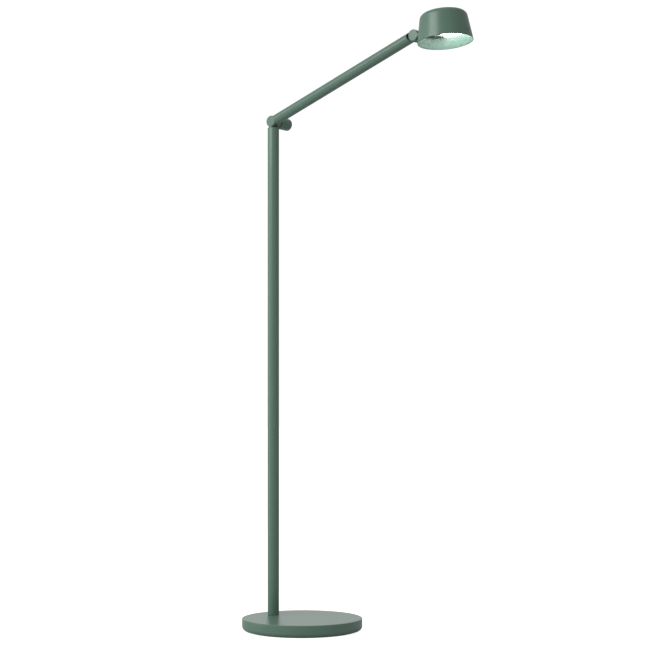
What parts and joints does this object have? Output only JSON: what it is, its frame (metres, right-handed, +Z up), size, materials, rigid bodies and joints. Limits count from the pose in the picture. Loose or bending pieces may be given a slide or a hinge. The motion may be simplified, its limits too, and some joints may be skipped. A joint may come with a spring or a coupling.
{
  "type": "adjustable arm floor lamp",
  "caption": "Floor lamp: heavy round base, off-centre pole, tilting straight arm on a knob-clamped elbow, and a tilting drum shade with a lit lens and a dimmer button.",
  "frame": {"origin": "centre of the underside of the round base, on the floor", "axes": "+Z up, +X from the pole towards the base's centre and along the arm's reach, +Y to the side the clamping knobs are on"},
  "size_m": [0.5708, 0.2652, 1.307],
  "materials": {
    "sage_paint": "satin",
    "cast_iron": "rough",
    "zinc_steel": "zinc plated",
    "brass": "machined",
    "aluminium": "satin",
    "black_plastic": "matte",
    "white_plastic": "matte",
    "nylon": "satin",
    "rubber": "matte",
    "circuit_board": "matte",
    "frosted_lens": "frosted"
  },
  "bodies": {
    "base": {"base_cover": "sage_paint", "base_weight": "cast_iron", "base_plate": "zinc_steel", "base_pad": "rubber", "base_screw_1": "zinc_steel", "base_screw_2": "zinc_steel", "base_screw_3": "zinc_steel", "pole_bolt": "zinc_steel", "pole_washer": "zinc_steel", "cord_gland": "black_plastic", "pole_tube": "sage_paint", "pole_foot_plug": "zinc_steel", "pole_top_bush": "nylon", "pole_lead": "black_plastic"},
    "swivel": {"swivel_head": "sage_paint", "swivel_ring": "zinc_steel", "elbow_stud": "zinc_steel", "elbow_front_washer": "nylon", "elbow_rear_washer": "nylon", "elbow_spring_washer": "zinc_steel"},
    "elbow_knob": {"elbow_knob": "sage_paint", "elbow_knob_insert": "brass"},
    "arm": {"arm_tube": "sage_paint", "elbow_tongue": "zinc_steel", "head_tongue": "zinc_steel", "elbow_lock_screw": "zinc_steel", "head_lock_screw": "zinc_steel", "arm_lead": "black_plastic"},
    "head": {"head_barrel": "sage_paint", "head_stud": "zinc_steel", "head_front_washer": "nylon", "head_rear_washer": "nylon", "head_spring_washer": "zinc_steel", "neck_washer": "zinc_steel", "neck_nut": "zinc_steel", "shade": "sage_paint", "heat_sink": "aluminium", "led_board": "circuit_board", "reflector_ring": "white_plastic", "diffuser": "frosted_lens", "lens_bezel": "white_plastic", "lens_skirt": "frosted_lens", "driver_box": "black_plastic", "dimmer_switch": "black_plastic"},
    "head_knob": {"head_knob": "sage_paint", "head_knob_insert": "brass"},
    "button": {"dimmer_button": "sage_paint"}
  },
  "joints": [
    {"name": "pole_swivel", "type": "hinge", "parent": "base", "child": "swivel", "pos_m": [-0.0825, 0, 1.131], "axis": [0, 0, 1], "range_deg": [-165, 165]},
    {"name": "elbow_tilt", "type": "hinge", "parent": "swivel", "child": "arm", "pos_m": [-0.0825, 0, 1.131], "axis": [0, -1, 0], "range_deg": [-28, 70]},
    {"name": "elbow_knob_turn", "type": "hinge", "parent": "swivel", "child": "elbow_knob", "pos_m": [-0.0825, 0.03, 1.131], "axis": [0, 1, 0], "range_deg": [0, 360]},
    {"name": "head_tilt", "type": "hinge", "parent": "arm", "child": "head", "pos_m": [0.29955, 0, 1.26779], "axis": [0, -1, 0], "range_deg": [-45, 70]},
    {"name": "head_knob_turn", "type": "hinge", "parent": "head", "child": "head_knob", "pos_m": [0.29955, 0.02, 1.26779], "axis": [0, 1, 0], "range_deg": [0, 360]},
    {"name": "dimmer_press", "type": "slide", "parent": "head", "child": "button", "axis": [-0.9677, 0, -0.2521], "range_m": [0, 0.001], "stiffness_N_per_m": 400, "springref_m": -0.001}
  ]
}
